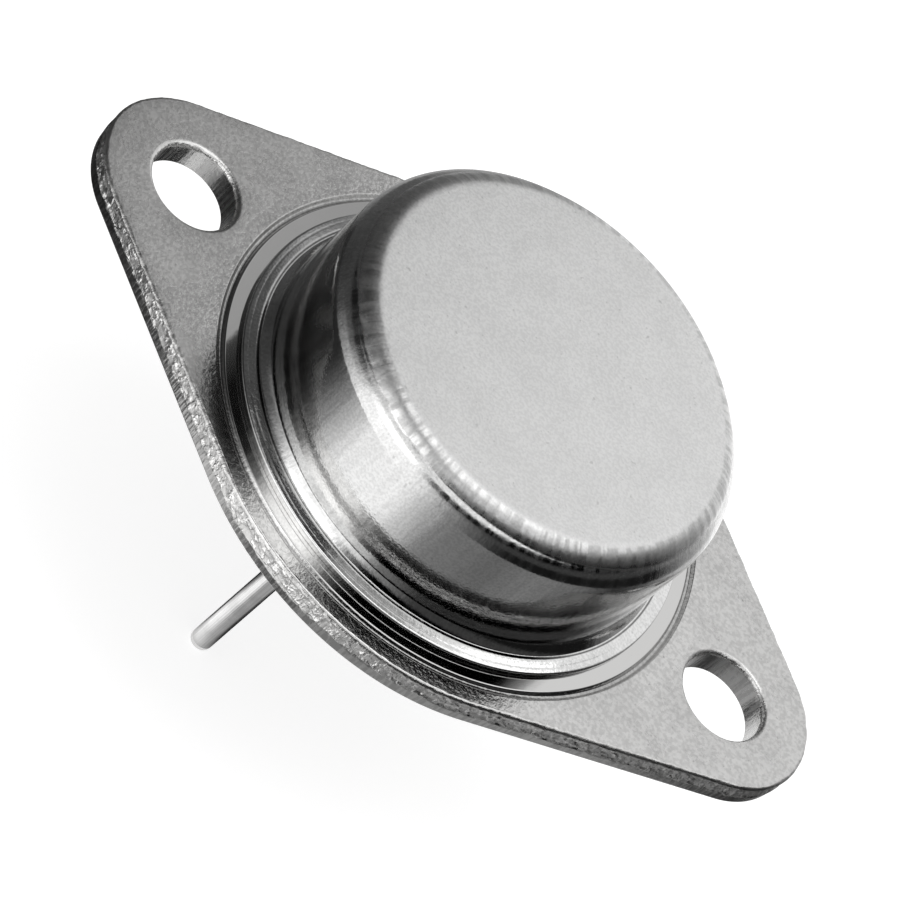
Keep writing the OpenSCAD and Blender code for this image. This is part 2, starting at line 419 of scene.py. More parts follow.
def flange_face(z, outer, hole_radius, with_groove):
    """One flat face of the flange: rings round the cap's axis, parted round the two bores, then rows
    out to the edge, parted round the two mounting holes. Both walls of the ring groove follow the
    curve 3x^2 - 2x^3 from the face to its floor."""
    centre = 0 * ray
    ring = ring_r * ray
    to_rim = hole_x * np.cos(np.arcsin(rim_r / hole_x)) - ring_r
    share = to_rim / (np.linalg.norm(outer[hole_columns - 1]) - ring_r)
    bore_near, bore_far = split(centre, ring, seal_distance / ring_r, bore_t_of, bore_centre, glass_r)
    hole_near, hole_far = split(ring, outer, share, hole_t_of, hole_centre, hole_radius)
    middle_rows, middle_z = [bore_far], [z]
    if with_groove:
        down, up = np.linspace(0, 1, 13), np.linspace(0, 1, 11)
        down_r = groove_in + (groove_low - groove_in) * down
        up_r = groove_low + groove_floor + (groove_out - groove_low - groove_floor) * up
        before = [brim_r - 0.5, brim_r + 0.1, groove_in - 0.03]
        after = [groove_out + 0.03, groove_r + 0.4]
        r = np.r_[before, down_r, up_r, after]
        depth = groove_depth * np.r_[0, 0, 0, smooth_step(down), smooth_step(1 - up), 0, 0]
        middle_rows += [x * ray for x in r]
        middle_z += list(z - depth)
    middle_rows += [ring, hole_near]
    middle_z += [z, z]
    return [
        at_height([centre, bore_near], z),
        at_height(middle_rows, middle_z),
        at_height(blend_rows(hole_far, outer, 4), z),
    ]


def hole_wall(t, centre, line):
    """A hole's wall: each (radius, z) of the line carried round the hole, along the far side of its
    rim and back along the near side."""
    crossed = ~np.isnan(t)
    rows = []
    for radius, z in line:
        far, near = (rim_points(t, centre, radius, end)[crossed] for end in (FAR, NEAR))
        rows.append(np.vstack([far, near[-2:0:-1]]))
    return at_height(rows, [z for radius, z in line])


def make_flange():
    """The flange: its edge section carried along the outline, both flat faces, and the walls of the
    mounting holes and of the bores for the glass. Blanking left the edge's upper part torn: its
    depth follows noise along the outline and down the side. Below lean_from the edge leans in,
    evenly down to its lower side."""
    torn_base, fade_low, fade_high = 0.012, 0.08, 0.1
    jag = 0.5 * ripple(edge_u, 260, 11) + 0.5 * ripple(edge_u, 620, 12)
    roll = edge_roll + 0.05 * np.maximum(jag, -0.6) + 0.02 * ripple(edge_u, 60, 13)
    torn_to = 0.52 + 0.07 * ripple(edge_u, 90, 14) + 0.05 * ripple(edge_u, 300, 15)
    rows, heights = [], []
    for k in np.linspace(90, 0, 9):
        inset = roll * (1 - np.cos(np.radians(k)))
        rows.append(edge - edge_out * inset[:, None])
        heights.append(flange_top - roll * (1 - np.sin(np.radians(k))))
    for k in np.linspace(0, 1, 16)[1:]:
        z = (flange_top - roll) * (1 - k) + low_edge * k
        torn = smooth_step((z - torn_to) / fade_low)
        torn = torn * smooth_step((flange_top - roll - z) / fade_high)
        row = round(k * 15)
        rough = 0.5 + 0.5 * ripple((edge_u + 0.37 * row) % 1, 900, 20 + row)
        lean = edge_lean * np.maximum(lean_from - z, 0) / lean_from
        rows.append(edge - edge_out * (torn_depth * torn * rough + torn_base * torn + lean)[:, None])
        heights.append(z)
    for k in np.linspace(0, 90, 4)[1:]:
        rows.append(edge - edge_out * (edge_lean + low_edge * (1 - np.cos(np.radians(k)))))
        heights.append(low_edge * (1 - np.sin(np.radians(k))) + 0 * edge_u)
    side = np.concatenate([np.stack(rows), np.stack(heights)[..., None]], axis=-1)

    top = flange_face(flange_top, side[0, :, :2], rim_r, True)
    bottom = flange_face(0.0, side[-1, :, :2], hole_r, False)
    rim = join(
        arc((rim_r, flange_top - rim_roll), rim_roll, 90, 180, 9),
        straight((hole_r, flange_top - rim_roll), (hole_r, 0), 4),
    )
    bore = [(glass_r, flange_top), (glass_r, 0)]
    walls = []
    for side_sign in (1, -1):
        walls.append(hole_wall(np.where(side_x == side_sign, hole_t_of, np.nan), hole_centre, rim))
        up = np.sign(ray[:, 1]) == side_sign
        walls.append(hole_wall(np.where(up, bore_t_of, np.nan), bore_centre, bore))
    grids = [side, *top, *bottom, *walls]
    return make_piece("flange_plate", grids, 35, ["flange"])


# ---------------- leads and glass seals


def upright(line, y):
    """The line carried round the axis of the lead at y."""
    return sweep(line, whole_turn(96)) + np.array([lead_x, y, 0])


def make_lead(name, y, node):
    """A lead: its section carried round its axis, from the rounded free end up to the flat head."""
    low, top = lead_low[2], lead_high[2]
    line = join(
        straight((0, low), (lead_r - lead_tip_r, low), 3),
        arc((lead_r - lead_tip_r, low + lead_tip_r), lead_tip_r, -90, 0, 10),
        straight((lead_r, low + lead_tip_r), (lead_r, top - head_t), 40),
        straight((lead_r, top - head_t), (head_r, top - head_t), 2),
        straight((head_r, top - head_t), (head_r, top), 2),
        straight((head_r, top), (0, top), 2),
    )
    return make_piece(name, [upright(line, y)], 35, [node])


def make_seal(name, y, node):
    """The glass round a lead. Both faces are drawn up the lead and up the bore: with w from 0 at the
    lead to 1 at the bore, they rise by climb (1 - w / climb_share)^2 near the lead and by half of
    climb (1 - (1 - w) / bank_share)^2 near the bore."""
    w = np.linspace(0, 1, 24)
    at_lead = np.maximum(1 - w / climb_share, 0) ** 2
    at_bore = np.maximum(1 - (1 - w) / bank_share, 0) ** 2
    rise = glass_climb * (at_lead + 0.5 * at_bore)
    r = lead_r + (glass_r - lead_r) * w
    high_face = seal_high[2] - glass_climb
    low_face = seal_low[2] + glass_climb
    upper = np.column_stack([r, high_face + rise])
    lower = np.column_stack([r, low_face - rise])[::-1]
    line = np.vstack([upper, lower, upper[:1]])
    return make_piece(name, [upright(line, y)], 40, [node])


cap_shell = make_cap()
flange_plate = make_flange()
base_pin = make_lead("base_pin", -lead_y, "base_lead")
emitter_pin = make_lead("emitter_pin", lead_y, "emitter_lead")
base_seal = make_seal("base_seal", -lead_y, "base_glass_seal")
emitter_seal = make_seal("emitter_seal", lead_y, "emitter_glass_seal")


# ---------------- camera


def aim_camera():
    """A long lens from above the long side of the flange, rolled so that the cap leans right. The
    view's centre passes a little beside the origin. Angles are in radians."""
    side_a, up_a, roll = -0.1341, 0.7388, 0.8576
    distance, aside, above = 241.1, 0.238, 0.328
    sensor, focal_length = 36, 235.16
    back = Vector((np.cos(up_a) * np.sin(side_a), -np.cos(up_a) * np.cos(side_a), np.sin(up_a)))
    right = Vector((np.cos(side_a), np.sin(side_a), 0))
    up = back.cross(right)
    turned_right = right * np.cos(roll) + up * np.sin(roll)
    turned_up = up * np.cos(roll) - right * np.sin(roll)
    place = back * distance
    target = turned_right * aside + turned_up * above
    z = (place - target).normalized()
    x = (turned_right - z * turned_right.dot(z)).normalized()
    y = z.cross(x)
    lens = bpy.data.cameras.new("camera")
    lens.sensor_width, lens.lens = sensor, focal_length
    lens.clip_start, lens.clip_end = 0.01, 10
    camera = bpy.data.objects.new("camera", lens)
    turn = Matrix((x, y, z)).transposed().to_4x4()
    camera.matrix_world = Matrix.Translation(place * MM) @ turn
    bpy.context.scene.collection.objects.link(camera)
    bpy.context.scene.camera = camera


aim_camera()


# ---------------- wiring of node trees


class Wiring:
    """Adds nodes to one tree. Most calls return the new node's result, to feed the next one."""

    def __init__(self, tree):
        self.tree = tree

    def feed(self, node, sockets):
        """Each socket, found by name or number, linked to a result or set to a value."""
        for socket, value in sockets.items():
            if isinstance(value, bpy.types.NodeSocket):
                self.tree.links.new(value, node.inputs[socket])
            else:
                node.inputs[socket].default_value = value

    def node(self, kind, sockets, **settings):
        """A shader node of one kind, with its settings and with its sockets fed."""
        made = self.tree.nodes.new(kind)
        for key, value in settings.items():
            setattr(made, key, value)
        self.feed(made, sockets)
        return made

    def effect(self, group, sockets):
        """A shared effect placed in this tree, with its own values."""
        return self.node("ShaderNodeGroup", sockets, node_tree=group).outputs

    def math(self, operation, *values):
        return self.node("ShaderNodeMath", dict(enumerate(values)), operation=operation).outputs[0]

    def times(self, product, *values):
        """The product of all the values."""
        for value in values:
            product = self.math("MULTIPLY", product, value)
        return product

    def plus(self, total, *values):
        """The sum of all the values."""
        for value in values:
            total = self.math("ADD", total, value)
        return total

    def most(self, largest, *values):
        """The largest of all the values."""
        for value in values:
            largest = self.math("MAXIMUM", largest, value)
        return largest

    def vector(self, operation, *values):
        sockets = dict(enumerate(values))
        return self.node("ShaderNodeVectorMath", sockets, operation=operation).outputs[0]

    def stretched(self, vector, x, y, z):
        """The vector with its three parts multiplied by x, y and z."""
        return self.vector("MULTIPLY", vector, (x, y, z))

    def scaled(self, vector, factor):
        """The vector multiplied by one number."""
        return self.node("ShaderNodeVectorMath", {0: vector, 3: factor}, operation="SCALE").outputs[0]

    def length(self, vector):
        return self.node("ShaderNodeVectorMath", {0: vector}, operation="LENGTH").outputs["Value"]

    def parts(self, vector):
        return self.node("ShaderNodeSeparateXYZ", {0: vector}).outputs

    def ramp(self, value, low, high, first=0.0, last=1.0):
        """first where the value is low, last where it is high, and smooth between."""
        sockets = {"Value": value, "From Min": low, "From Max": high, "To Min": first, "To Max": last}
        smooth = self.node("ShaderNodeMapRange", sockets, interpolation_type="SMOOTHSTEP")
        return smooth.outputs["Result"]

    def between(self, share, first, last):
        """first where the share is 0, last where it is 1, and smooth between."""
        return self.ramp(share, 0.0, 1.0, first, last)

    def ridge(self, value, centre, half):
        """1 where the value is at the centre, smoothly down to 0 at half away from it."""
        away = self.math("ABSOLUTE", self.math("SUBTRACT", value, centre))
        return self.ramp(away, half, 0.0)

    def mix(self, share, a, b):
        """a where the share is 0, b where it is 1."""
        return self.node("ShaderNodeMix", {0: share, 2: a, 3: b}, data_type="FLOAT").outputs[0]

    def tint(self, share, a, b, way="MIX"):
        """The same for colours."""
        sockets = {0: share, 6: a, 7: b}
        return self.node("ShaderNodeMix", sockets, data_type="RGBA", blend_type=way).outputs[2]

    def shade(self, colour, *factors):
        """The colour times one factor after another."""
        for factor in factors:
            colour = self.tint(1.0, colour, factor, "MULTIPLY")
        return colour

    def noise(self, vector, size, detail=2.0):
        """Soft noise about 0.5, with lumps of the given size in the vector's unit."""
        sockets = {"Vector": vector, "Scale": 1 / size, "Detail": detail}
        return self.node("ShaderNodeTexNoise", sockets).outputs["Fac"]

    def direct(self):
        """1 for rays from the camera, off a mirror or through glass, 0 for all others."""
        ray = self.node("ShaderNodeLightPath", {}).outputs
        return self.most(ray["Is Camera Ray"], ray["Is Glossy Ray"], ray["Is Transmission Ray"])


def emptied(holder):
    """The wiring of a material's or world's tree, without its first nodes."""
    holder.use_nodes = True
    holder.node_tree.nodes.clear()
    return Wiring(holder.node_tree)


# ---------------- stage: floor, cards, lamp, world

scene = bpy.context.scene
scene.view_settings.view_transform = "Standard"
floor_z = lead_low[2]


def glow_sheet(name, line, tones):
    """A sheet of card: each (r, z) of the line swept round the Z axis. Each row of tones starts with an
    angle in degrees and gives the sheet's glow there for each point of the line; between rows the glow
    runs evenly. Only reflections see it."""
    steps = 121
    tones = np.array(tones, float)
    degrees = np.linspace(tones[0, 0], tones[-1, 0], steps)
    glow = [np.interp(degrees, tones[:, 0], tones[:, k]) for k in range(1, tones.shape[1])]
    grid = sweep(np.array(line, float), np.radians(degrees))
    card = new_object(name, grid.reshape(-1, 3), grid_quads(len(line), steps, closed=False))
    tone = card.data.attributes.new("tone", "FLOAT", "POINT")
    tone.data.foreach_set("value", np.stack(glow).astype(np.float32).ravel())
    paper = bpy.data.materials.new(name)
    w = emptied(paper)
    strength = w.node("ShaderNodeAttribute", {}, attribute_name="tone").outputs["Fac"]
    light = w.node("ShaderNodeEmission", {"Strength": strength}).outputs[0]
    w.node("ShaderNodeOutputMaterial", {"Surface": light})
    card.data.materials.append(paper)
    card.visible_camera = False
    card.visible_diffuse = False
    card.visible_shadow = False
    card.visible_transmission = False


# The table, in rings round the leads: a dark ring of painted shadow next to them, then near, middle and
# far tones.
card_z, card_r = floor_z + 0.3, 70
roof_z, roof_r = 101, 52
# glow of the painted shadow of the part, next to the leads
painted_shadow_tone = 0.03
table_line = [(r, card_z) for r in (0.5, 5.2, 6.4, 14, 17, 22.5, 26, card_r)]
table_tones = [
    (-285, 0.03, 0.3, 0.4), (-245, 0.03, 0.3, 0.4), (-215, 0.03, 0.2, 0.03), (-175, 0.03, 0.15, 0.02),
    (-160, 0.08, 0.05, 0.03), (-152, 0.2, 0.1, 0.1), (-142, 0.7, 0.85, 0.32), (-134, 1.2, 0.75, 0.65),
    (-122, 1.4, 0.35, 1.15), (-110, 1.1, 0.2, 1.2), (-100, 0.5, 0.12, 1.15), (-90, 0.42, 0.3, 0.7),
    (-78, 0.42, 0.35, 0.24), (-52, 0.45, 0.35, 0.15), (-32, 0.45, 0.35, 0.22), (-14, 0.45, 0.35, 0.15),
    (0, 0.45, 0.3, 0.03), (14, 0.4, 0.35, 0.1), (24, 0.4, 0.4, 0.4), (44, 0.4, 0.8, 0.9),
]
table_rows = [
    (a, painted_shadow_tone, painted_shadow_tone, near, near, middle, middle, far, far)
    for a, near, middle, far in table_tones
]
glow_sheet("table_cards", table_line, table_rows)

# The sides: a foot next to the table, a lower and an upper band, and a head that leans in.
side_line = [(card_r, z) for z in (card_z, 18, 24, 38, 46, 72, 82)] + [(roof_r, roof_z - 1)]
side_tones = [
    (-268, 0.45, 0.4, 0.45, 0.5), (-256, 0.35, 0.3, 0.6, 0.3), (-249, 0.25, 0.2, 0.5, 0.15),
    (-242, 0.12, 0.08, 0.1, 0.08), (-200, 0.04, 0.05, 0.01, 0.06), (-178, 0.06, 0.06, 0.01, 0.08),
    (-162, 0.3, 0.12, 0.03, 0.3), (-148, 0.7, 0.5, 0.3, 0.8), (-136, 1.3, 1.3, 1.6, 1.0),
    (-120, 1.35, 1.35, 2.3, 1.0), (-108, 1.3, 1.3, 2.0, 1.0), (-98, 1.1, 1.1, 0.6, 1.0),
    (-90, 0.8, 0.8, 0.1, 1.0), (-82, 0.3, 0.3, 0.0, 1.1), (-62, 0.05, 0.05, 0.0, 1.1),
    (-50, 0.01, 0.05, 0.0, 1.1), (16, 0.01, 0.05, 0.0, 1.3), (34, 0.4, 0.4, 0.4, 1.8),
    (44, 0.8, 0.8, 0.8, 1.6),
]
side_rows = [
    (a, foot, foot, lower, lower, upper, upper, head, head)
    for a, foot, lower, upper, head in side_tones
]
glow_sheet("side_cards", side_line, side_rows)

# The roof, from its rim in to the middle.
roof_line = [(r, roof_z) for r in (roof_r, 34, 24, 0.5)]
roof_tones = [
    (-268, 0.3, 1.1, 1.8), (-240, 0.15, 1.0, 2.0), (-200, 0.06, 0.3, 2.0), (-178, 0.02, 0.1, 2.0),
    (-106, 0.02, 0.1, 2.0), (-90, 0.25, 0.6, 2.0), (-62, 0.3, 0.8, 2.0), (-20, 0.35, 1.0, 2.0),
    (20, 1.2, 2.2, 2.2), (50, 1.6, 2.2, 2.0), (92, 1.0, 1.2, 1.5),
]
roof_rows = [(a, rim, between, centre, centre) for a, rim, between, centre in roof_tones]
glow_sheet("roof_card", roof_line, roof_rows)


def soft_lamp(name, side_deg, up_deg, distance, size, radiance):
    """A square soft lamp aimed at the origin. Its power is radiance times pi times its area."""
    a, e = np.radians(side_deg), np.radians(up_deg)
    place = Vector((np.cos(e) * np.cos(a), np.cos(e) * np.sin(a), np.sin(e))) * distance * MM
    light = bpy.data.lights.new(name, "AREA")
    light.shape = "SQUARE"
    light.size = size * MM
    light.energy = radiance * np.pi * (size * MM) ** 2
    lamp = bpy.data.objects.new(name, light)
    lamp.location = place
    lamp.rotation_euler = place.to_track_quat("Z", "Y").to_euler()
    scene.collection.objects.link(lamp)
    lamp.visible_camera = False
    lamp.visible_glossy = False


soft_lamp("overhead_softbox", side_deg=20, up_deg=77, distance=260, size=230, radiance=1.5)


def make_floor():
    """A wide pale floor at the free ends of the leads. Seen directly it is lifted by a glow."""
    half, tone, lift = 3000, 0.5, 0.76
    x = np.array([-half, half, half, -half])
    y = np.array([-half, -half, half, half])
    floor = new_object("floor", np.column_stack([x, y, 0 * x + floor_z]), [(0, 1, 2, 3)])
    paint = bpy.data.materials.new("pale_floor")
    w = emptied(paint)
    matte = w.node("ShaderNodeBsdfDiffuse", {"Color": (tone, tone, tone, 1)}).outputs[0]
    glow = w.node("ShaderNodeEmission", {"Strength": w.times(w.direct(), lift)}).outputs[0]
    both = w.node("ShaderNodeAddShader", {0: matte, 1: glow}).outputs[0]
    w.node("ShaderNodeOutputMaterial", {"Surface": both})
    floor.data.materials.append(paint)


def make_world():
    """White where it is seen directly, dimmer as a light on everything else."""
    dim, full = 0.6, 1.0
    world = bpy.data.worlds.new("studio")
    scene.world = world
    w = emptied(world)
    sockets = {"Value": w.direct(), "To Min": dim, "To Max": full}
    level = w.node("ShaderNodeMapRange", sockets).outputs["Result"]
    sky = w.node("ShaderNodeBackground", {"Color": (1, 1, 1, 1), "Strength": level}).outputs[0]
    w.node("ShaderNodeOutputWorld", {"Surface": sky})


make_floor()
make_world()


# ---------------- finishes: shared effects


def new_effect(name, takes, gives):
    """An empty node group whose sockets have the names and kinds of takes and gives."""
    tree = bpy.data.node_groups.new(name, "ShaderNodeTree")
    for socket, kind in takes.items():
        tree.interface.new_socket(socket, in_out="INPUT", socket_type=kind)
    for socket, kind in gives.items():
        tree.interface.new_socket(socket, in_out="OUTPUT", socket_type=kind)
    return Wiring(tree), tree.nodes.new("NodeGroupInput").outputs, tree.nodes.new("NodeGroupOutput")


FLOAT = "NodeSocketFloat"
VECTOR = "NodeSocketVector"


def make_round_place():
    """Where a point is, in millimetres from a centre: its place, its distance from the upright axis
    through the centre, its height, and its direction round that axis as a point of the unit circle."""
    gives = {"Place": VECTOR, "Radius": FLOAT, "Height": FLOAT, "Round": VECTOR}
    w, takes, out = new_effect("round_place", {"Centre": VECTOR}, gives)
    spot = w.node("ShaderNodeTexCoord", {}).outputs["Object"]
    place = w.vector("SUBTRACT", w.vector("DIVIDE", spot, (MM, MM, MM)), takes["Centre"])
    flat = w.stretched(place, 1, 1, 0)
    height = w.parts(place)["Z"]
    around = w.vector("NORMALIZE", flat)
    w.feed(out, {"Place": place, "Radius": w.length(flat), "Height": height, "Round": around})
    return w.tree


def make_plate_grain():
    """The grain of plated metal: fine speckle, sparse pits, and clouds many grains wide. Each is cut
    from its own part of the noise."""
    pit_size, cloud_size = 2.0, 16.0
    pit_part, cloud_part = (31, 17, 5), (7, 53, 11)
    gives = {"Speckle": FLOAT, "Pits": FLOAT, "Clouds": FLOAT}
    w, takes, out = new_effect("plate_grain", {"Place": VECTOR, "Size": FLOAT}, gives)
    steps = w.scaled(takes["Place"], w.math("DIVIDE", 1.0, takes["Size"]))
    speckle = w.ramp(w.noise(steps, 1.0, 2), 0.3, 0.7)
    pits = w.ramp(w.noise(w.vector("ADD", steps, pit_part), pit_size, 1), 0.68, 0.8)
    clouds = w.ramp(w.noise(w.vector("ADD", steps, cloud_part), cloud_size, 4), 0.32, 0.68)
    w.feed(out, {"Speckle": speckle, "Pits": pits, "Clouds": clouds})
    return w.tree


def make_drawn_streaks():
    """Streaks that run up and down a round piece: noise on the circle, as many lumps round it as
    Count says, drawn out in height to Length millimetres."""
    takes = {"Round": VECTOR, "Height": FLOAT, "Count": FLOAT, "Length": FLOAT}
    w, takes, out = new_effect("drawn_streaks", takes, {"Streak": FLOAT})
    ring = w.scaled(takes["Round"], takes["Count"])
    rise = w.math("DIVIDE", takes["Height"], takes["Length"])
    up = w.node("ShaderNodeCombineXYZ", {"Z": rise}).outputs[0]
    w.feed(out, {"Streak": w.ramp(w.noise(w.vector("ADD", ring, up), 1.0, 3), 0.3, 0.7)})
    return w.tree


def make_rubbed_edge():
    """Where an edge is rubbed bright: the given mask, broken up by noise of the given size."""
    takes = {"Place": VECTOR, "Edge": FLOAT, "Size": FLOAT}
    w, takes, out = new_effect("rubbed_edge", takes, {"Rubbed": FLOAT})
    steps = w.scaled(takes["Place"], w.math("DIVIDE", 1.0, takes["Size"]))
    w.feed(out, {"Rubbed": w.times(takes["Edge"], w.ramp(w.noise(steps, 1.0, 3), 0.35, 0.55))})
    return w.tree


round_place = make_round_place()
plate_grain = make_plate_grain()
drawn_streaks = make_drawn_streaks()
rubbed_edge = make_rubbed_edge()


# ---------------- finishes: the materials


class Finish(Wiring):
    """A material's wiring: where a point is on its piece, the grain there, and the surface."""

    def __init__(self, name, grain_size, centre=(0, 0, 0)):
        self.material = bpy.data.materials.new(name)
        self.material.use_nodes = True
        super().__init__(self.material.node_tree)
        spot = self.effect(round_place, {"Centre": centre})
        self.place, self.radius, self.height = spot["Place"], spot["Radius"], spot["Height"]
        self.around = spot["Round"]
        self.grain = self.grain_of(grain_size)

    def grain_of(self, size):
        return self.effect(plate_grain, {"Place": self.place, "Size": size})

    def streaks(self, count, length):
        """Streaks along a round piece: count of them round it, each length millimetres long."""
        sockets = {"Round": self.around, "Height": self.height, "Count": count, "Length": length}
        return self.effect(drawn_streaks, sockets)[0]

    def metal_grey(self, level, green, blue):
        """A grey of the level, with its green and blue multiplied by the shares given."""
        sockets = {0: level, 1: self.times(level, green), 2: self.times(level, blue)}
        return self.node("ShaderNodeCombineColor", sockets).outputs[0]

    def surface(self, colour, rough, relief, metal=1.0, **others):
        """The finished material. Relief is a height in millimetres, metal the metallic share; others
        are further sockets of the main shader."""
        bump = {"Strength": 1.0, "Distance": MM, "Height": relief}
        normal = self.node("ShaderNodeBump", bump).outputs["Normal"]
        sockets = {"Base Color": colour, "Roughness": rough, "Metallic": metal, "Normal": normal}
        self.feed(self.tree.nodes["Principled BSDF"], {**sockets, **others})
        return self.material


def grey(level, warm=0.0):
    """A grey, a little warmer or cooler."""
    return (level * (1 + warm), level, level * (1 - warm), 1)


def make_cap_finish():
    """Bright plate on drawn steel: a satin speckled top, a scuffed corner, a wall with streaks along
    the draw, a brim dulled here and there by the weld, and a dark line painted on the brim as shade
    in the corner at the wall's foot."""
    w = Finish("cap_plate", grain_size=0.12)
    height, speckle, clouds = w.height, w.grain["Speckle"], w.grain["Clouds"]
    streak = w.streaks(24.0, 5.0)
    scuff = w.streaks(30.0, 1.6)

    # masks: the brim and the shade line painted on it, the lower step, the corner, the top
    brim = w.ramp(height, brim_top + 0.3, brim_top + 0.05)
    painted_shade_line = w.ramp(height, brim_top + 0.2, brim_top + 0.05)
    painted_shade_line = w.times(w.ridge(w.radius, painted_shade_r, 0.07), painted_shade_line)
    step = w.ramp(height, step_at[1], step_at[1] + 0.6)
    above = w.ramp(height, crease_z - 0.03, crease_z + 0.06)
    satin = w.ramp(height, step_at[1] + 0.9, cap_top - 0.25)
    top = w.ramp(height, cap_top - 0.05, cap_top - 0.004)
    corner = w.math("SUBTRACT", above, top)

    rough = w.plus(0.04, w.times(streak, 0.025), w.times(clouds, 0.025))
    rough = w.mix(brim, rough, w.ramp(clouds, 0.2, 0.9, 0.05, 0.1))
    rough = w.mix(step, rough, w.ramp(scuff, 0.1, 0.9, 0.12, 0.22))
    corner_low, corner_high = w.ramp(scuff, 0.1, 0.9, 0.16, 0.24), w.ramp(scuff, 0.1, 0.9, 0.3, 0.42)
    rough = w.mix(corner, rough, w.mix(satin, corner_low, corner_high))
    rough = w.mix(top, rough, w.between(speckle, 0.46, 0.56))

    level = w.mix(top, w.between(streak, 0.69, 0.75), w.between(clouds, 0.72, 0.745))
    level = w.mix(corner, level, w.ramp(scuff, 0.1, 0.9, 0.64, 0.5))
    # pits, and a dark line painted as shade in the corner where the brim meets the wall
    marks = w.times(w.between(w.grain["Pits"], 1.0, 0.8), w.mix(painted_shade_line, 1.0, 0.18))
    colour = w.shade(w.metal_grey(level, 1.0, 0.995), w.between(speckle, 0.91, 1.06), marks)

    relief = w.plus(
        w.times(streak, w.mix(above, 0.002, 0.0)),
        w.times(scuff, corner, 0.004),
        w.times(speckle, w.mix(top, 0.001, 0.0018)),
        w.times(clouds, w.mix(above, 0.003, 0.002)),
    )
    return w.surface(colour, rough, relief)


def make_flange_finish():
    """Satin plate on blanked steel: cloudy and speckled on the faces, polished by the tool round the
    cap, streaked in the punched holes, and torn bright above smooth grey on the edge."""
    w = Finish("flange_plate_finish", grain_size=0.17)
    place, radius, height = w.place, w.radius, w.height
    speckle, clouds = w.grain["Speckle"], w.grain["Clouds"]
    fine = w.grain_of(0.07)
    folded = w.vector("ABSOLUTE", place)
    hole_distance = w.length(w.stretched(w.vector("SUBTRACT", folded, (hole_x, 0, 0)), 1, 1, 0))

    # masks: upper face, lower face, polished ring, groove, hole walls, blanked edge
    near_cap = w.times(w.ramp(radius, groove_r + 0.5, groove_r + 0.3), w.ramp(height, 0.3, 0.6))
    face = w.most(w.ramp(height, flange_top - 0.2, flange_top - 0.02), near_cap)
    under = w.ramp(height, 0.04, 0.01)
    ring = w.times(w.ramp(radius, groove_r - 0.1, groove_r - 0.22), face)
    groove = w.ramp(radius, groove_r - 0.2, groove_r - 0.08)
    groove = w.times(groove, w.ramp(radius, groove_r + 0.24, groove_r + 0.12))
    bore = w.ramp(hole_distance, hole_r + 0.2, hole_r + 0.05)
    bore = w.times(bore, w.ramp(height, flange_top - 0.02, flange_top - 0.3))
    side = w.most(w.math("SUBTRACT", 1.0, w.most(under, bore, face)), 0.0)
    ragged = w.plus(height, w.times(w.noise(place, 0.5, 3), 0.3))
    torn = w.times(side, w.ramp(ragged, 0.66, 0.7))
    arris = w.ridge(height, flange_top - 0.07, 0.09)
    arris = w.times(arris, w.ramp(radius, groove_r + 0.4, groove_r + 0.6))
    rubbed = w.effect(rubbed_edge, {"Place": place, "Edge": arris, "Size": 0.6})[0]

    flakes = w.ramp(w.noise(w.stretched(place, 1, 1, 0.7), 0.3, 2), 0.42, 0.58)
    streaks = w.ramp(w.noise(w.stretched(place, 1, 1, 0.08), 0.16, 3), 0.34, 0.66)

    away = w.ramp(radius, groove_r + 0.2, groove_r + 1.6)
    rough = w.mix(away, 0.11, w.between(clouds, 0.24, 0.34))
    rough = w.mix(ring, rough, w.between(clouds, 0.05, 0.08))
    rough = w.mix(under, rough, w.between(clouds, 0.26, 0.36))
    rough = w.mix(side, rough, w.between(streaks, 0.1, 0.2))
    rough = w.mix(torn, rough, w.mix(flakes, 0.5, 0.28))
    rough = w.mix(bore, rough, w.between(streaks, 0.2, 0.3))

    level = w.times(w.between(clouds, 0.49, 0.55), w.between(speckle, 0.88, 1.1))
    level = w.times(level, w.between(fine["Pits"], 1.0, 0.7))
    level = w.mix(ring, level, 0.6)
    # colour darker in the groove: times 0.8
    level = w.times(level, w.mix(groove, 1.0, 0.8))
    level = w.mix(side, level, w.between(streaks, 0.48, 0.66))
    level = w.mix(torn, level, w.mix(flakes, 0.78, 1.0))
    level = w.mix(bore, level, w.between(streaks, 0.5, 0.64))
    level = w.mix(rubbed, level, 0.7)

    relief = w.plus(
        w.times(speckle, w.mix(ring, 0.0036, 0.00015)),
        w.times(fine["Speckle"], w.mix(ring, 0.0014, 0.0)),
        w.times(clouds, 0.004),
        w.times(flakes, torn, 0.024),
        w.times(streaks, w.plus(w.times(side, 0.01), w.times(bore, 0.004))),
    )
    return w.surface(w.metal_grey(level, 0.995, 0.985), rough, relief)


def make_drawn_finish(name, centre, colour, rough, count):
    """Drawn wire: fine streaks along the piece, and a little grain."""
    w = Finish(name, grain_size=0.06, centre=centre)
    streak = w.streaks(count, 6.0)
    colour = w.shade(colour, w.between(streak, 0.9, 1.04), w.between(w.grain["Clouds"], 0.9, 1.04))
    relief = w.plus(w.times(streak, 0.002), w.times(w.grain["Speckle"], 0.0008))
    return w.surface(colour, w.between(streak, rough, rough + 0.14), relief)


def make_seal_finish():
    """Dark sealing glass with small bubbles and faint swirls; the colour lightens near the bubbles."""
    w = Finish("sealing_glass", grain_size=0.1)
    bubbles = w.grain["Pits"]
    swirl = w.ramp(w.noise(w.stretched(w.place, 1, 1, 2.5), 0.7, 4), 0.35, 0.65)
    colour = w.tint(swirl, (0.1, 0.15, 0.15, 1), (0.2, 0.26, 0.25, 1))
    colour = w.tint(bubbles, colour, (0.5, 0.55, 0.52, 1))
    rough = w.between(w.grain["Clouds"], 0.04, 0.14)
    glass = {"Transmission Weight": 0.7, "IOR": 1.5}
    return w.surface(colour, rough, w.times(bubbles, -0.004), metal=0.0, **glass)


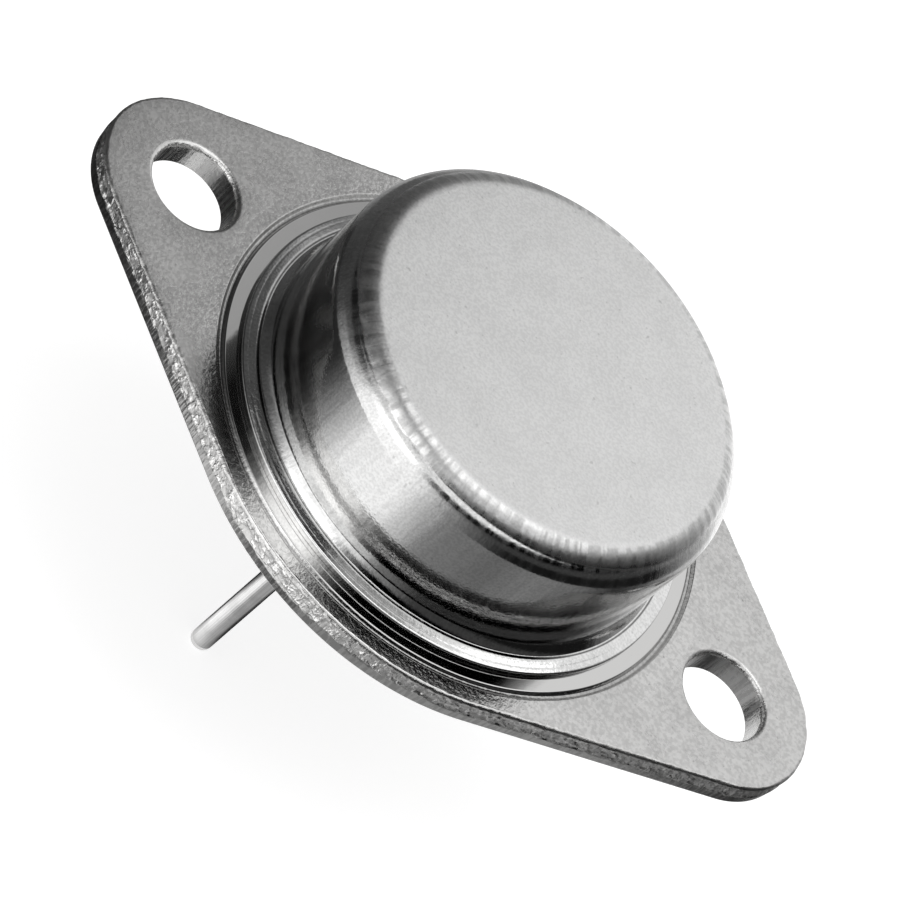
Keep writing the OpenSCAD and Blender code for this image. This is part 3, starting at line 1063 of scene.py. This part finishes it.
def make_lumpy_finish(name, colour, rough, lump):
    """Metal that froze from the melt: soft lumps, dull patches and fine grain."""
    w = Finish(name, grain_size=0.08)
    lumps = w.noise(w.place, lump, 3)
    speckle = w.grain["Speckle"]
    colour = w.shade(colour, w.ramp(lumps, 0.3, 0.7, 0.86, 1.08), w.between(speckle, 0.94, 1.04))
    rough = w.ramp(lumps, 0.35, 0.65, rough, rough + 0.16)
    return w.surface(colour, rough, w.plus(w.times(lumps, 0.05), w.times(speckle, 0.002)))


def make_copper_finish():
    """Rolled copper: lines along the rolling, and brown tarnish in patches."""
    w = Finish("rolled_copper", grain_size=0.09)
    lines = w.ramp(w.noise(w.stretched(w.place, 0.08, 1, 1), 0.07, 3), 0.35, 0.65)
    tarnish = w.ramp(w.noise(w.place, 1.4, 4), 0.42, 0.66)
    colour = w.tint(tarnish, (0.86, 0.48, 0.33, 1), (0.6, 0.31, 0.2, 1))
    colour = w.shade(colour, w.between(lines, 0.9, 1.05), w.between(w.grain["Pits"], 1.0, 0.75))
    rough = w.mix(tarnish, w.between(lines, 0.22, 0.34), 0.48)
    return w.surface(colour, rough, w.plus(w.times(lines, 0.003), w.times(w.grain["Speckle"], 0.001)))


def make_die_finish():
    """A polished die: dark bare silicon on its sides and rim, and above it bright metal in two areas,
    one of them reaching into the other with a comb of fingers."""
    low, high = box_mm("silicon_die")
    half = (high[0] - low[0]) / 2
    finger_pitch, comb_from = 0.42, -half + 1.5
    centre = ((low[0] + high[0]) / 2, (low[1] + high[1]) / 2, high[2])
    w = Finish("silicon_and_metal", grain_size=0.05, centre=centre)
    speckle = w.grain["Speckle"]
    x, y, z = w.parts(w.place)
    reach = w.most(w.math("ABSOLUTE", x), w.math("ABSOLUTE", y))
    inside = w.times(w.ramp(reach, half - 0.24, half - 0.27), w.ramp(z, -0.03, -0.01))
    turns = w.math("FRACT", w.math("DIVIDE", y, finger_pitch))
    comb = w.math("ABSOLUTE", w.math("SUBTRACT", turns, 0.5))
    finger = w.times(w.ramp(comb, 0.3, 0.33), w.ramp(x, comb_from, comb_from + 0.05))
    gap = w.plus(w.ridge(comb, 0.3, 0.06), w.ridge(x, comb_from, 0.05))
    metal = w.times(inside, w.ramp(gap, 0.8, 0.3))
    patches = w.ramp(w.noise(w.place, 1.5, 2), 0.35, 0.65)
    silicon = w.tint(patches, (0.07, 0.08, 0.13, 1), (0.1, 0.08, 0.14, 1))
    bright = w.tint(finger, (0.78, 0.78, 0.79, 1), (0.68, 0.68, 0.7, 1))
    colour = w.shade(w.tint(metal, silicon, bright), w.between(speckle, 0.94, 1.03))
    rough = w.mix(metal, 0.08, w.between(speckle, 0.24, 0.36))
    relief = w.plus(w.times(metal, 0.004), w.times(speckle, 0.0006))
    return w.surface(colour, rough, relief, metal=w.mix(metal, 0.35, 1.0))


def give(piece, finish):
    """The piece's only finish."""
    piece.data.materials.clear()
    piece.data.materials.append(finish)


def give_node(node, finish):
    """The finish for a piece that keeps its CAD surface."""
    give(bpy.data.objects[node], finish)


def wire_centre(node):
    """The middle of a node's box: the streaks of a bent wire are centred on it."""
    low, high = box_mm(node)
    return tuple((low + high) / 2)


give(cap_shell, make_cap_finish())
give(flange_plate, make_flange_finish())
lead_grey = grey(0.68, 0.004)
give(base_pin, make_drawn_finish("base_lead_plate", (lead_x, -lead_y, 0), lead_grey, 0.08, 9.0))
give(emitter_pin, make_drawn_finish("emitter_lead_plate", (lead_x, lead_y, 0), lead_grey, 0.08, 9.0))
sealing_glass = make_seal_finish()
give(base_seal, sealing_glass)
give(emitter_seal, sealing_glass)
give_node("spreader_braze", make_lumpy_finish("braze_metal", grey(0.66, 0.02), 0.34, 0.5))
give_node("heat_spreader", make_copper_finish())
give_node("die_solder", make_lumpy_finish("solder_metal", grey(0.55, -0.01), 0.38, 0.35))
give_node("silicon_die", make_die_finish())
wire_grey = grey(0.82, -0.005)
for wire in ("emitter_wire_1", "emitter_wire_2", "base_wire"):
    give_node(wire, make_drawn_finish(wire + "_metal", wire_centre(wire), wire_grey, 0.2, 14.0))
